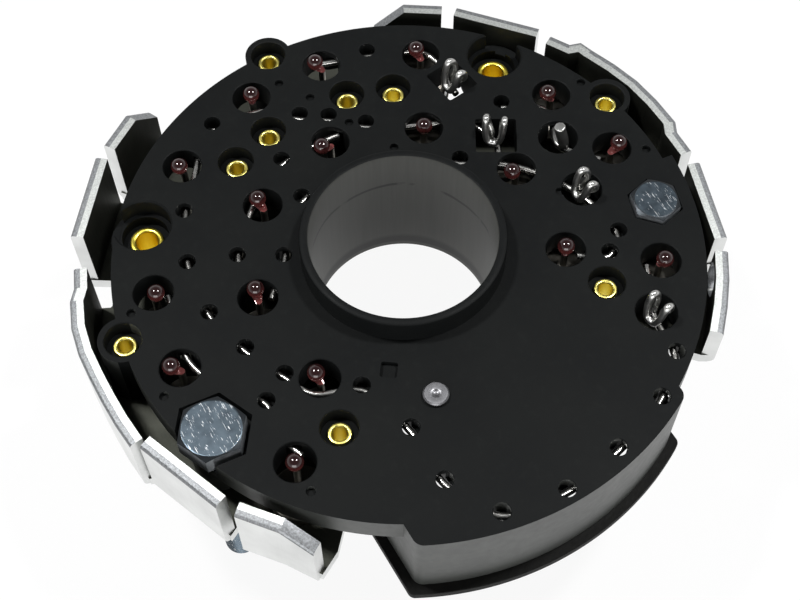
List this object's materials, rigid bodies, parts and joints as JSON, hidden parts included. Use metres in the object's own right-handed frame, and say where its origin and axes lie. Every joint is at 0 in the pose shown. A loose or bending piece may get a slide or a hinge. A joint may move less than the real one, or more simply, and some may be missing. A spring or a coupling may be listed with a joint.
{
  "type": "alternator rectifier",
  "caption": "Round rectifier for a heavy vehicle alternator: black moulding with a shaft tube, aluminium heat sinks with upright fins, pressed diodes and terminal bolts.",
  "frame": {"origin": "on the shaft axis, in the plane where the seal and the two feet meet the end shield", "axes": "+Z along the shaft axis, out of the face with the hooks; -Y through the middle of the box"},
  "size_m": [0.1441, 0.1387, 0.068],
  "materials": {
    "moulding": "satin black, slightly dusty",
    "seal": "matt",
    "heat_sink": "bare sheet with bright edges",
    "diode": "copper, soldered",
    "rivet": "yellow passivated",
    "bush": "yellow passivated",
    "bolt": "zinc plated",
    "solid_rivet": "plain",
    "wire": "tinned",
    "hook": "tinned, bright"
  },
  "bodies": {
    "root": {"insulator_moulding": "moulding", "box_seal": "seal", "long_heat_sink": "heat_sink", "short_heat_sink": "heat_sink", "diode_01": "diode", "diode_02": "diode", "diode_03": "diode", "diode_04": "diode", "diode_05": "diode", "diode_06": "diode", "diode_07": "diode", "diode_08": "diode", "diode_09": "diode", "diode_10": "diode", "diode_11": "diode", "diode_12": "diode", "diode_13": "diode", "diode_14": "diode", "diode_15": "diode", "diode_16": "diode", "diode_17": "diode", "tubular_rivet_1": "rivet", "tubular_rivet_2": "rivet", "tubular_rivet_3": "rivet", "tubular_rivet_4": "rivet", "tubular_rivet_5": "rivet", "tubular_rivet_6": "rivet", "tubular_rivet_7": "rivet", "tubular_rivet_8": "rivet", "tubular_rivet_9": "rivet", "mounting_bush_1": "bush", "mounting_bush_2": "bush", "main_terminal_bolt": "bolt", "main_terminal_washer": "bolt", "main_terminal_nut": "bolt", "second_terminal_bolt": "bolt", "second_terminal_washer": "bolt", "second_terminal_nut": "bolt", "solid_rivet": "solid_rivet", "phase_wire_1": "wire", "phase_wire_2": "wire", "phase_wire_3": "wire", "phase_wire_4": "wire", "phase_wire_5": "wire", "link_wire_1": "wire", "link_wire_2": "wire", "stator_hook_1": "hook", "stator_hook_2": "hook", "stator_hook_3": "hook", "stator_hook_4": "hook", "stator_hook_5": "hook"}
  },
  "joints": []
}
